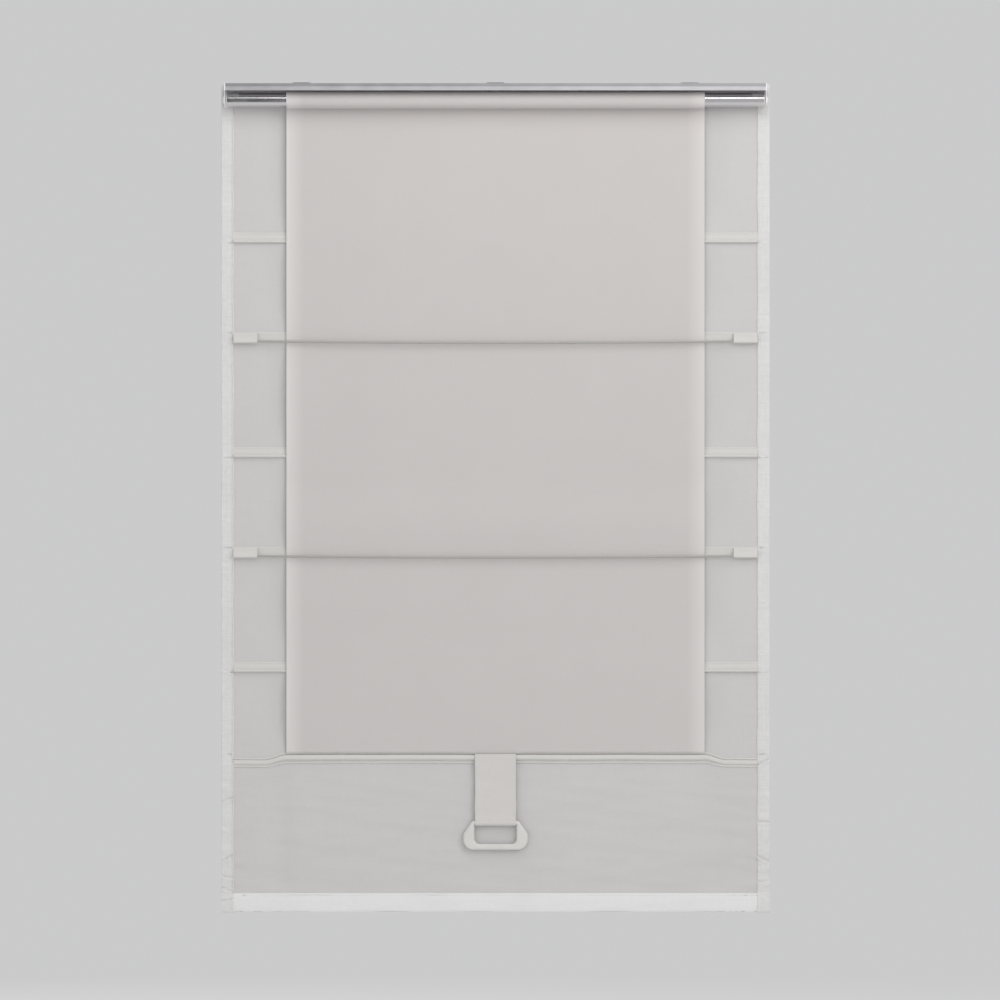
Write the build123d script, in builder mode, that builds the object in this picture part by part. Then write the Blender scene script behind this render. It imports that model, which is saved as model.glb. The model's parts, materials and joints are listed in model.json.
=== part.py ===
from build123d import *
import os

# A cordless fabric shade for an inside mount. A spring roller under the headrail winds a narrow
# lifting sheet, which is joined to the face fabric near its foot, and the face fabric folds up
# in soft pleats between six cross ribs.
# Millimetres. The origin is the centre of the mounting clips' top faces, +Z is up, +X runs
# along the headrail, +Y faces the room and -Y faces the window.

os.makedirs("parts", exist_ok=True)

# Overall sizes
FACE_WIDTH = 1075.0
DROP = 1626.0
FACE_Y = 22.0                # window-side surface of the face fabric
FACE_T = 1.5
HEM_WIDTH = 23.5
HEM_T = 1.0

# Headrail, an H-shaped extrusion: a shallow clip slot on top, room for the roller below
RAIL_LENGTH = 1058.0
RAIL_BACK_Y = -30.0
RAIL_FRONT_Y = 20.0
RAIL_TOP_Z = -1.5
RAIL_BOTTOM_Z = -15.5
RAIL_WALL = 1.4
RAIL_WEB_Z = -6.5            # underside of the web
RAIL_LIP = 6.0
RAIL_STEP = 1.2              # the upper part of the window face is set back by this much
RAIL_STEP_Z = -8.0
RAIL_MID_Y = (RAIL_BACK_Y + RAIL_FRONT_Y) / 2

# Mounting clips
CLIP_WIDTH = 34.0
CLIP_DEPTH = 44.0
CLIP_T = 1.2
CLIP_HOLE_R = 2.25
CLIP_HOLE_SPACING = 18.0
CLIP_HOOK = 3.0
CLIP_X = {"left": -380.0, "centre": 0.0, "right": 380.0}

# Roller
ROLLER_Z = -33.5
TUBE_LENGTH = 1052.0
TUBE_R = 14.0
TUBE_WALL = 1.2
PLUG_R = TUBE_R - TUBE_WALL - 0.05
FLANGE_R = 15.0
FLANGE_T = 1.5
ROLL_R = 16.5
LINER_WIDTH = 820.0
LINER_Y = 16.8
LINER_T = 0.5
LINER_BOTTOM_Z = -1314.5

# Spring motor in the left end of the tube
SPINDLE_R = 3.0
SPINDLE_LENGTH = 300.0
SPINDLE_FIT = 0.06
TANG_SIDE = 5.0
TANG_LENGTH = 6.0
HUB_R = 9.5
HUB_LENGTH = 18.0
SPRING_R = 8.6
SPRING_WIRE_R = 0.9
SPRING_PITCH = 7.5
SPRING_TURNS = 32

# Idle pin in the right end of the tube
PIN_R = 2.5
PIN_FIT = 0.05
PIN_COLLAR_R = 4.3
PIN_COLLAR_T = 3.0
CHAMBER_R = 4.6
CHAMBER_LENGTH = 22.0
IDLE_PLUG_LENGTH = 43.0
PIN_SPRING_R = 3.7
PIN_SPRING_WIRE_R = 0.4

# End brackets
BRACKET_T = 2.0
BRACKET_R = 15.0
BRACKET_TONGUE = 26.0
BRACKET_TONGUE_DEPTH = 43.0
BRACKET_TONGUE_T = 1.5
BOSS_R = 7.0
BOSS_T = 3.0
SCREW_R = 1.5
SCREW_FIT = 0.05
SCREW_HEAD_R = 3.0
SCREW_HEAD_T = 1.8
SCREW_INSET = 13.0
SCREW_SPACING = 30.0

# Hook-and-loop fastening along the headrail's room face
STRIP_LENGTH = 1020.0
STRIP_HEIGHT = 12.0
STRIP_T = 1.0

# Cross ribs, from the top down: the height of each pocket's lower edge
RIB_BOTTOM_Z = {1: -313.0, 2: -510.0, 3: -734.0, 4: -931.0, 5: -1155.0, 6: -1333.0}
POCKET_LENGTH = FACE_WIDTH - 2 * HEM_WIDTH
TUCK_HEIGHT = 20.0
TUCK_DEPTH = 4.2
TUCK_ROD_R = 1.5
TUCK_ROD_RISE = 3.2
STUB_LENGTH = 47.0
STUB_HEIGHT = 21.0
STUB_REAR_Y = 11.3
REAR_ROD_R = 2.2
REAR_ROD_Y = 14.0
REAR_ROD_RISE = 4.0
ROD_FIT = 0.2
ROD_LENGTH = 1016.0

# Lifting pocket, which holds the foot of the lifting sheet
LIFT_POCKET_TOP_Z = -1315.0
LIFT_POCKET_REAR_Y = 15.0
LIFT_POCKET_SIDE_DROP = 8.0
LIFT_POCKET_SLANT = 42.0
LIFT_ROD_R = 2.0
LIFT_ROD_LENGTH = 812.0

# Bottom hem and weight bar
HEM_TOP_Z = -1589.0
HEM_DEPTH = 7.0
HEM_SKIN = 1.2
BAR_LENGTH = 1050.0
BAR_FIT = 0.1
CAP_LENGTH = 8.0

# Pull strap and ring handle
STRAP_WIDTH = 80.0
STRAP_Y = 13.2
STRAP_T = 2.0
STRAP_TOP_Z = -1317.0
HANDLE_BAR_Z = -1450.0
HANDLE_BAR_R = 4.5
HANDLE_T = 9.0
HANDLE_WIDTH = 127.0
HANDLE_HEIGHT = 57.5
HANDLE_OPENING = 82.0
HANDLE_OPENING_HEIGHT = 36.5
HANDLE_TOP_WIDTH = 91.0
HANDLE_SHOULDER_DROP = 26.0
HANDLE_CORNER_R = 20.0
LOOP_FIT = 0.15
LOOP_T = 1.4


def write(builder, name):
    """Label a finished piece and write its STEP file."""
    builder.part.label = name
    export_step(builder.part, f"parts/{name}.step")


# ---------------------------------------------------------------- headrail and its clips

with BuildPart() as headrail:
    with BuildSketch(Plane.YZ):
        with Locations((RAIL_MID_Y, (RAIL_TOP_Z + RAIL_BOTTOM_Z) / 2)):
            Rectangle(RAIL_FRONT_Y - RAIL_BACK_Y, RAIL_TOP_Z - RAIL_BOTTOM_Z)
        inner = RAIL_FRONT_Y - RAIL_BACK_Y - 2 * RAIL_WALL
        slot_floor = RAIL_WEB_Z + RAIL_WALL
        slot_roof = RAIL_TOP_Z - RAIL_WALL
        with Locations((RAIL_MID_Y, (RAIL_WEB_Z + RAIL_BOTTOM_Z) / 2)):
            Rectangle(inner, RAIL_WEB_Z - RAIL_BOTTOM_Z, mode=Mode.SUBTRACT)
        with Locations((RAIL_MID_Y, (slot_floor + slot_roof) / 2)):
            Rectangle(inner, slot_roof - slot_floor, mode=Mode.SUBTRACT)
        with Locations((RAIL_MID_Y, (slot_roof + RAIL_TOP_Z) / 2)):
            Rectangle(inner - 2 * RAIL_LIP, RAIL_WALL, mode=Mode.SUBTRACT)
        # the window face steps back above the level of the web
        step_z = (RAIL_TOP_Z + RAIL_STEP_Z) / 2
        with Locations((RAIL_BACK_Y + RAIL_WALL + RAIL_STEP / 2, step_z)):
            Rectangle(RAIL_STEP, RAIL_TOP_Z - RAIL_STEP_Z)
        with Locations((RAIL_BACK_Y + RAIL_STEP / 2, step_z)):
            Rectangle(RAIL_STEP, RAIL_TOP_Z - RAIL_STEP_Z, mode=Mode.SUBTRACT)
    extrude(amount=RAIL_LENGTH / 2, both=True)
    # clearance holes for the end brackets' screws
    with BuildSketch(Plane.XY.offset(RAIL_WEB_Z)):
        for side in (-1, 1):
            with Locations((side * (RAIL_LENGTH / 2 - SCREW_INSET), RAIL_MID_Y)):
                with GridLocations(0, SCREW_SPACING, 1, 2):
                    Circle(SCREW_R + SCREW_FIT)
    extrude(amount=RAIL_WALL, mode=Mode.SUBTRACT)
write(headrail, "headrail")

for place, clip_x in CLIP_X.items():
    with BuildPart() as mounting_clip:
        slot_half = (RAIL_FRONT_Y - RAIL_BACK_Y) / 2 - RAIL_WALL - RAIL_LIP
        leg_outer = slot_half - 0.4
        hook_top = RAIL_TOP_Z - RAIL_WALL - 0.15
        with BuildSketch(Plane.YZ.offset(clip_x)):
            with Locations((RAIL_MID_Y, RAIL_TOP_Z / 2)):
                Rectangle(CLIP_DEPTH, -RAIL_TOP_Z)
            for side in (-1, 1):
                leg_y = RAIL_MID_Y + side * (leg_outer - CLIP_T / 2)
                hook_y = RAIL_MID_Y + side * (leg_outer + CLIP_HOOK / 2 - CLIP_T / 2)
                with Locations((leg_y, (RAIL_TOP_Z + hook_top - CLIP_T) / 2)):
                    Rectangle(CLIP_T, RAIL_TOP_Z - hook_top + CLIP_T)
                with Locations((hook_y, hook_top - CLIP_T / 2)):
                    Rectangle(CLIP_HOOK + CLIP_T, CLIP_T)
        extrude(amount=CLIP_WIDTH / 2, both=True)
        with BuildSketch(Plane.XY.offset(RAIL_TOP_Z)):
            with Locations((clip_x, RAIL_MID_Y)):
                with GridLocations(CLIP_HOLE_SPACING, 0, 2, 1):
                    Circle(CLIP_HOLE_R)
        extrude(amount=-RAIL_TOP_Z, mode=Mode.SUBTRACT)
    write(mounting_clip, f"mounting_clip_{place}")

# ---------------------------------------------------------------- end brackets and screws

for place, side in (("left", -1), ("right", 1)):
    plate_plane = Plane.YZ.offset(side * RAIL_LENGTH / 2)
    with BuildPart() as end_bracket:
        with BuildSketch(plate_plane):
            with Locations((RAIL_MID_Y, (RAIL_TOP_Z + RAIL_BOTTOM_Z) / 2)):
                Rectangle(RAIL_FRONT_Y - RAIL_BACK_Y, RAIL_TOP_Z - RAIL_BOTTOM_Z)
            with Locations((0, ROLLER_Z)):
                Circle(BRACKET_R)
            with Locations((0, (ROLLER_Z + RAIL_BOTTOM_Z) / 2)):
                Rectangle(2 * BRACKET_R, RAIL_BOTTOM_Z - ROLLER_Z)
        extrude(amount=side * BRACKET_T)
        with BuildSketch(plate_plane.offset(side * BRACKET_T)):
            with Locations((0, ROLLER_Z)):
                Circle(BOSS_R)
        extrude(amount=side * BOSS_T)
        # seat in the boss: square for the spindle's tang, round for the idle pin
        with BuildSketch(plate_plane):
            with Locations((0, ROLLER_Z)):
                if side < 0:
                    Rectangle(TANG_SIDE + 0.2, TANG_SIDE + 0.2)
                else:
                    Circle(PIN_R + PIN_FIT)
        extrude(amount=side * (BRACKET_T + BOSS_T), mode=Mode.SUBTRACT)
        # tongue under the web of the headrail
        with Locations(
            (
                side * (RAIL_LENGTH / 2 - BRACKET_TONGUE / 2),
                RAIL_MID_Y,
                RAIL_WEB_Z - BRACKET_TONGUE_T / 2,
            )
        ):
            Box(BRACKET_TONGUE, BRACKET_TONGUE_DEPTH, BRACKET_TONGUE_T)
        with BuildSketch(Plane.XY.offset(RAIL_WEB_Z - BRACKET_TONGUE_T)):
            with Locations((side * (RAIL_LENGTH / 2 - SCREW_INSET), RAIL_MID_Y)):
                with GridLocations(0, SCREW_SPACING, 1, 2):
                    Circle(SCREW_R + SCREW_FIT)
        extrude(amount=BRACKET_TONGUE_T, mode=Mode.SUBTRACT)
    write(end_bracket, f"end_bracket_{place}")

with BuildPart() as bracket_screws:
    head_z = RAIL_WEB_Z - BRACKET_TONGUE_T
    screw_sites = [
        (side * (RAIL_LENGTH / 2 - SCREW_INSET), RAIL_MID_Y + row * SCREW_SPACING / 2)
        for side in (-1, 1)
        for row in (-1, 1)
    ]
    with BuildSketch(Plane.XY.offset(head_z)):
        with Locations(*screw_sites):
            Circle(SCREW_HEAD_R)
    extrude(amount=-SCREW_HEAD_T)
    chamfer(bracket_screws.edges().group_by(Axis.Z)[0], 0.5)
    with BuildSketch(Plane.XY.offset(head_z)):
        with Locations(*screw_sites):
            Circle(SCREW_R)
    extrude(amount=BRACKET_TONGUE_T + RAIL_WALL)
    with BuildSketch(Plane.XY.offset(head_z - SCREW_HEAD_T)):
        with Locations(*screw_sites):
            Rectangle(3.6, 0.8)
            Rectangle(0.8, 3.6)
    extrude(amount=1.0, mode=Mode.SUBTRACT)
write(bracket_screws, "bracket_screws")

# ---------------------------------------------------------------- spring roller

tube_end = TUBE_LENGTH / 2

with BuildPart() as roller_tube:
    with BuildSketch(Plane.YZ):
        with Locations((0, ROLLER_Z)):
            Circle(TUBE_R)
            Circle(TUBE_R - TUBE_WALL, mode=Mode.SUBTRACT)
    extrude(amount=tube_end, both=True)
write(roller_tube, "roller_tube")

with BuildPart() as liner_roll:
    with BuildSketch(Plane.YZ):
        with Locations((0, ROLLER_Z)):
            Circle(ROLL_R)
            Circle(TUBE_R + 0.02, mode=Mode.SUBTRACT)
    extrude(amount=LINER_WIDTH / 2, both=True)
write(liner_roll, "liner_roll")

PLUG_DEPTH = 26.0
with BuildPart() as spring_end_plug:
    with BuildSketch(Plane.YZ.offset(-tube_end)):
        with Locations((0, ROLLER_Z)):
            Circle(PLUG_R)
    extrude(amount=PLUG_DEPTH)
    with BuildSketch(Plane.YZ.offset(-tube_end)):
        with Locations((0, ROLLER_Z)):
            Circle(FLANGE_R)
    extrude(amount=-FLANGE_T)
    # nose that carries the spring's driven end
    with BuildSketch(Plane.YZ.offset(PLUG_DEPTH - tube_end)):
        with Locations((0, ROLLER_Z)):
            Circle(SPRING_R - SPRING_WIRE_R - 0.1)
    extrude(amount=HUB_LENGTH)
    with BuildSketch(Plane.YZ.offset(-tube_end - FLANGE_T)):
        with Locations((0, ROLLER_Z)):
            Circle(SPINDLE_R + SPINDLE_FIT)
    extrude(amount=FLANGE_T + PLUG_DEPTH + HUB_LENGTH, mode=Mode.SUBTRACT)
write(spring_end_plug, "spring_end_plug")

spindle_start = -RAIL_LENGTH / 2
with BuildPart() as spring_spindle:
    with BuildSketch(Plane.YZ.offset(spindle_start + 0.5)):
        with Locations((0, ROLLER_Z)):
            Circle(SPINDLE_R)
    extrude(amount=SPINDLE_LENGTH)
    with BuildSketch(Plane.YZ.offset(spindle_start + 0.5)):
        with Locations((0, ROLLER_Z)):
            RectangleRounded(TANG_SIDE, TANG_SIDE, 0.5)
    extrude(amount=-TANG_LENGTH + 1.5)
write(spring_spindle, "spring_spindle")

hub_start = spindle_start + 0.5 + SPINDLE_LENGTH - 2 * HUB_LENGTH
with BuildPart() as spring_fixed_hub:
    with BuildSketch(Plane.YZ.offset(hub_start)):
        with Locations((0, ROLLER_Z)):
            Circle(SPRING_R - SPRING_WIRE_R - 0.1)
            Circle(SPINDLE_R + 0.02, mode=Mode.SUBTRACT)
    extrude(amount=HUB_LENGTH)
    with BuildSketch(Plane.YZ.offset(hub_start + HUB_LENGTH - 5.0)):
        with Locations((0, ROLLER_Z)):
            Circle(HUB_R)
            Circle(SPINDLE_R + 0.02, mode=Mode.SUBTRACT)
    extrude(amount=5.0)
write(spring_fixed_hub, "spring_fixed_hub")

with BuildPart() as spindle_bush:
    with BuildSketch(Plane.YZ.offset(hub_start + HUB_LENGTH + 4.0)):
        with Locations((0, ROLLER_Z)):
            Circle(PLUG_R)
            Circle(SPINDLE_R + SPINDLE_FIT, mode=Mode.SUBTRACT)
    extrude(amount=10.0)
write(spindle_bush, "spindle_bush")

spring_start = PLUG_DEPTH - tube_end + 4.0
with BuildPart() as torsion_spring:
    with BuildLine() as torsion_path:
        Helix(
            pitch=SPRING_PITCH,
            height=SPRING_PITCH * SPRING_TURNS,
            radius=SPRING_R,
            center=(spring_start, 0, ROLLER_Z),
            direction=(1, 0, 0),
        )
    with BuildSketch(Plane(origin=torsion_path.line @ 0, z_dir=torsion_path.line % 0)):
        Circle(SPRING_WIRE_R)
    sweep(path=torsion_path.line)
write(torsion_spring, "torsion_spring")

idle_face = tube_end + FLANGE_T
chamber_start = tube_end - IDLE_PLUG_LENGTH + 3.0
chamber_end = chamber_start + CHAMBER_LENGTH
with BuildPart() as idle_plug:
    with BuildSketch(Plane.YZ.offset(tube_end)):
        with Locations((0, ROLLER_Z)):
            Circle(PLUG_R)
    extrude(amount=-IDLE_PLUG_LENGTH)
    with BuildSketch(Plane.YZ.offset(tube_end)):
        with Locations((0, ROLLER_Z)):
            Circle(FLANGE_R)
    extrude(amount=FLANGE_T)
    with BuildSketch(Plane.YZ.offset(chamber_start)):
        with Locations((0, ROLLER_Z)):
            Circle(CHAMBER_R)
    extrude(amount=CHAMBER_LENGTH, mode=Mode.SUBTRACT)
    with BuildSketch(Plane.YZ.offset(chamber_end)):
        with Locations((0, ROLLER_Z)):
            Circle(PIN_R + PIN_FIT)
    extrude(amount=idle_face - chamber_end, mode=Mode.SUBTRACT)
write(idle_plug, "idle_plug")

pin_tip = RAIL_LENGTH / 2 + BRACKET_T + BOSS_T - 0.5
collar_face = chamber_end - 0.1
with BuildPart() as idle_pin:
    with BuildSketch(Plane.YZ.offset(pin_tip)):
        with Locations((0, ROLLER_Z)):
            Circle(PIN_R)
    extrude(amount=collar_face - pin_tip)
    chamfer(idle_pin.edges().group_by(Axis.X)[-1], 0.8)
    with BuildSketch(Plane.YZ.offset(collar_face)):
        with Locations((0, ROLLER_Z)):
            Circle(PIN_COLLAR_R)
    extrude(amount=-PIN_COLLAR_T)
write(idle_pin, "idle_pin")

pin_spring_start = chamber_start + PIN_SPRING_WIRE_R + 0.1
pin_spring_height = collar_face - PIN_COLLAR_T - PIN_SPRING_WIRE_R - 0.1 - pin_spring_start
with BuildPart() as idle_pin_spring:
    with BuildLine() as pin_spring_path:
        Helix(
            pitch=pin_spring_height / 7,
            height=pin_spring_height,
            radius=PIN_SPRING_R,
            center=(pin_spring_start, 0, ROLLER_Z),
            direction=(1, 0, 0),
        )
    with BuildSketch(Plane(origin=pin_spring_path.line @ 0, z_dir=pin_spring_path.line % 0)):
        Circle(PIN_SPRING_WIRE_R)
    sweep(path=pin_spring_path.line)
write(idle_pin_spring, "idle_pin_spring")

with BuildPart() as liner_drop:
    with BuildSketch(Plane.XZ.offset(-LINER_Y)):
        with Locations((0, (ROLLER_Z + LINER_BOTTOM_Z) / 2)):
            Rectangle(LINER_WIDTH, ROLLER_Z - LINER_BOTTOM_Z)
    extrude(amount=-LINER_T)
write(liner_drop, "liner_drop")

# ---------------------------------------------------------------- face fabric

# Hook-and-loop: one strip is stuck to the headrail, the other is sewn to the fabric's top edge
for strip_name, strip_y in (("hook_strip", RAIL_FRONT_Y), ("loop_strip", FACE_Y - STRIP_T)):
    with BuildPart() as fastening_strip:
        with BuildSketch(Plane.XZ.offset(-strip_y)):
            with Locations((0, (RAIL_TOP_Z + RAIL_BOTTOM_Z) / 2)):
                Rectangle(STRIP_LENGTH, STRIP_HEIGHT)
        extrude(amount=-STRIP_T)
    write(fastening_strip, strip_name)


def rear_rib_top(rib):
    """Height of the upper edge of a rear rib's stub pockets."""
    return RIB_BOTTOM_Z[rib] + STUB_HEIGHT


# Each panel of the face fabric runs from one rib to the next: (name, top, bottom).
PANELS = [
    ("face_panel_0", -2.0, RIB_BOTTOM_Z[1]),
    ("face_panel_1", RIB_BOTTOM_Z[1], rear_rib_top(2)),
    ("face_panel_2", rear_rib_top(2), RIB_BOTTOM_Z[3]),
    ("face_panel_3", RIB_BOTTOM_Z[3], rear_rib_top(4)),
    ("face_panel_4", rear_rib_top(4), RIB_BOTTOM_Z[5]),
    ("face_panel_5", RIB_BOTTOM_Z[5], LIFT_POCKET_TOP_Z),
    ("face_flap", LIFT_POCKET_TOP_Z, HEM_TOP_Z),
]
for panel_name, panel_top, panel_bottom in PANELS:
    with BuildPart() as face_panel:
        with BuildSketch(Plane.XY.offset(panel_bottom)):
            with Locations((0, FACE_Y + FACE_T / 2)):
                Rectangle(FACE_WIDTH, FACE_T)
            hem_x = (FACE_WIDTH - HEM_WIDTH) / 2
            with Locations((-hem_x, FACE_Y - HEM_T / 2), (hem_x, FACE_Y - HEM_T / 2)):
                Rectangle(HEM_WIDTH, HEM_T)
        extrude(amount=panel_top - panel_bottom)
    write(face_panel, panel_name)

# Front ribs: a full-width tuck on the window side with a thin rod in its lower edge
for rib in (1, 3, 5):
    rod_y = FACE_Y - TUCK_DEPTH / 2
    rod_z = RIB_BOTTOM_Z[rib] + TUCK_ROD_RISE
    with BuildPart() as tuck_pocket:
        with BuildSketch(Plane.YZ):
            with Locations((rod_y, RIB_BOTTOM_Z[rib] + TUCK_HEIGHT / 2)):
                RectangleRounded(TUCK_DEPTH, TUCK_HEIGHT, 1.0)
            with Locations((rod_y, rod_z)):
                Circle(TUCK_ROD_R + ROD_FIT, mode=Mode.SUBTRACT)
        extrude(amount=POCKET_LENGTH / 2, both=True)
    write(tuck_pocket, f"rib_{rib}_pocket")
    with BuildPart() as tuck_rod:
        with BuildSketch(Plane.YZ):
            with Locations((rod_y, rod_z)):
                Circle(TUCK_ROD_R)
        extrude(amount=ROD_LENGTH / 2, both=True)
    write(tuck_rod, f"rib_{rib}_rod")

# Rear ribs: the rod crosses behind the lifting sheet, so its pockets are short stubs at the sides
for rib in (2, 4):
    stub_bottom = RIB_BOTTOM_Z[rib]
    rod_z = stub_bottom + REAR_ROD_RISE
    with BuildPart() as stub_pockets:
        for side in (-1, 1):
            with BuildSketch(Plane.YZ.offset(side * POCKET_LENGTH / 2)):
                with BuildLine():
                    Polyline(
                        (FACE_Y, stub_bottom + STUB_HEIGHT),
                        (FACE_Y - 2.0, stub_bottom + STUB_HEIGHT),
                        (STUB_REAR_Y, rod_z + 3.0),
                        (STUB_REAR_Y, stub_bottom + 1.0),
                        (STUB_REAR_Y + 1.0, stub_bottom),
                        (FACE_Y, stub_bottom),
                        close=True,
                    )
                make_face()
                with Locations((REAR_ROD_Y, rod_z)):
                    Circle(REAR_ROD_R + ROD_FIT, mode=Mode.SUBTRACT)
            extrude(amount=-side * STUB_LENGTH)
    write(stub_pockets, f"rib_{rib}_pockets")
    with BuildPart() as rear_rod:
        with BuildSketch(Plane.YZ):
            with Locations((REAR_ROD_Y, rod_z)):
                Circle(REAR_ROD_R)
        extrude(amount=ROD_LENGTH / 2, both=True)
    write(rear_rod, f"rib_{rib}_rod")

# Lifting pocket: level behind the lifting sheet, lower at the sides where only fabric hangs
lift_half = LINER_WIDTH / 2
lift_rod_y = (LIFT_POCKET_REAR_Y + FACE_Y) / 2
lift_rod_z = RIB_BOTTOM_Z[6] + (LIFT_POCKET_TOP_Z - RIB_BOTTOM_Z[6]) / 2
with BuildPart() as lift_pocket:
    with BuildSketch(Plane.XZ.offset(-LIFT_POCKET_REAR_Y)):
        with BuildLine():
            Polyline(
                (0, LIFT_POCKET_TOP_Z),
                (lift_half, LIFT_POCKET_TOP_Z),
                (lift_half + LIFT_POCKET_SLANT, LIFT_POCKET_TOP_Z - 1.5 * LIFT_POCKET_SIDE_DROP),
                (POCKET_LENGTH / 2, LIFT_POCKET_TOP_Z - 1.5 * LIFT_POCKET_SIDE_DROP),
                (POCKET_LENGTH / 2, RIB_BOTTOM_Z[6] - LIFT_POCKET_SIDE_DROP),
                (lift_half + LIFT_POCKET_SLANT, RIB_BOTTOM_Z[6] - LIFT_POCKET_SIDE_DROP),
                (lift_half, RIB_BOTTOM_Z[6]),
                (0, RIB_BOTTOM_Z[6]),
                close=True,
            )
        make_face()
        mirror(about=Plane.YZ)
    extrude(amount=LIFT_POCKET_REAR_Y - FACE_Y)
    with BuildSketch(Plane.YZ):
        with Locations((lift_rod_y, lift_rod_z)):
            Circle(LIFT_ROD_R + ROD_FIT)
    extrude(amount=LIFT_ROD_LENGTH / 2 + 1.0, both=True, mode=Mode.SUBTRACT)
write(lift_pocket, "rib_6_pocket")

with BuildPart() as lift_rod:
    with BuildSketch(Plane.YZ):
        with Locations((lift_rod_y, lift_rod_z)):
            Circle(LIFT_ROD_R)
    extrude(amount=LIFT_ROD_LENGTH / 2, both=True)
write(lift_rod, "rib_6_rod")

# ---------------------------------------------------------------- bottom hem and weight bar

hem_mid_y = FACE_Y + FACE_T / 2 - 1.5
hem_mid_z = (HEM_TOP_Z - DROP) / 2
hem_height = HEM_TOP_Z + DROP
cavity_depth = HEM_DEPTH - 2 * HEM_SKIN
cavity_height = hem_height - 2 * HEM_SKIN
with BuildPart() as bottom_hem:
    with BuildSketch(Plane.YZ):
        with Locations((hem_mid_y, hem_mid_z)):
            RectangleRounded(HEM_DEPTH, hem_height, 3.0)
            RectangleRounded(cavity_depth, cavity_height, 1.8, mode=Mode.SUBTRACT)
    extrude(amount=FACE_WIDTH / 2, both=True)
write(bottom_hem, "bottom_hem")

with BuildPart() as weight_bar:
    with BuildSketch(Plane.YZ):
        with Locations((hem_mid_y, hem_mid_z)):
            RectangleRounded(cavity_depth - 2 * BAR_FIT, cavity_height - 2 * BAR_FIT, 1.7)
    extrude(amount=BAR_LENGTH / 2, both=True)
write(weight_bar, "weight_bar")

for place, side in (("left", -1), ("right", 1)):
    with BuildPart() as bar_cap:
        with BuildSketch(Plane.YZ.offset(side * BAR_LENGTH / 2)):
            with Locations((hem_mid_y, hem_mid_z)):
                RectangleRounded(cavity_depth - 2 * BAR_FIT, cavity_height - 2 * BAR_FIT, 1.7)
        extrude(amount=side * CAP_LENGTH)
        chamfer(bar_cap.edges().group_by(Axis.X)[0 if side < 0 else -1], 0.8)
    write(bar_cap, f"weight_bar_cap_{place}")

# ---------------------------------------------------------------- pull strap and handle

with BuildPart() as pull_strap:
    with BuildSketch(Plane.YZ):
        with Locations((STRAP_Y, (STRAP_TOP_Z + HANDLE_BAR_Z) / 2)):
            Rectangle(STRAP_T, STRAP_TOP_Z - HANDLE_BAR_Z)
        # the folded top edge, which the strap swings about
        with Locations((STRAP_Y, STRAP_TOP_Z)):
            Circle(STRAP_T / 2)
        with Locations((STRAP_Y, HANDLE_BAR_Z)):
            Circle(HANDLE_BAR_R + LOOP_FIT + LOOP_T)
            Circle(HANDLE_BAR_R + LOOP_FIT, mode=Mode.SUBTRACT)
    extrude(amount=STRAP_WIDTH / 2, both=True)
write(pull_strap, "pull_strap")

ring_top_z = HANDLE_BAR_Z + HANDLE_BAR_R
ring_bottom_z = ring_top_z - HANDLE_HEIGHT
shoulder_z = ring_top_z - HANDLE_SHOULDER_DROP
opening_mid_z = HANDLE_BAR_Z - HANDLE_BAR_R - HANDLE_OPENING_HEIGHT / 2
with BuildPart() as ring_handle:
    with BuildSketch(Plane.XZ.offset(-STRAP_Y)):
        # shoulders slope out from the strap's corners to the full width
        with BuildSketch() as outline:
            with BuildLine():
                Polyline(
                    (-HANDLE_WIDTH / 2, ring_bottom_z),
                    (HANDLE_WIDTH / 2, ring_bottom_z),
                    (HANDLE_WIDTH / 2, shoulder_z),
                    (HANDLE_TOP_WIDTH / 2, ring_top_z),
                    (-HANDLE_TOP_WIDTH / 2, ring_top_z),
                    (-HANDLE_WIDTH / 2, shoulder_z),
                    close=True,
                )
            make_face()
            fillet(outline.vertices().group_by(Axis.Y)[-1], 10.0)
            fillet(outline.vertices().group_by(Axis.Y)[1], 14.0)
            fillet(outline.vertices().group_by(Axis.Y)[0], HANDLE_CORNER_R)
        with BuildSketch(mode=Mode.SUBTRACT) as opening:
            with Locations((0, opening_mid_z)):
                Rectangle(HANDLE_OPENING, HANDLE_OPENING_HEIGHT)
            fillet(opening.vertices().group_by(Axis.Y)[0], 10.0)
            fillet(opening.vertices().group_by(Axis.Y)[-1], 1.0)
    extrude(amount=HANDLE_T / 2, both=True)
    rims = ring_handle.edges().group_by(Axis.Y)
    fillet(rims[0] + rims[-1], HANDLE_BAR_R - 0.06)
write(ring_handle, "ring_handle")
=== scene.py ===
import json
import math

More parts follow.
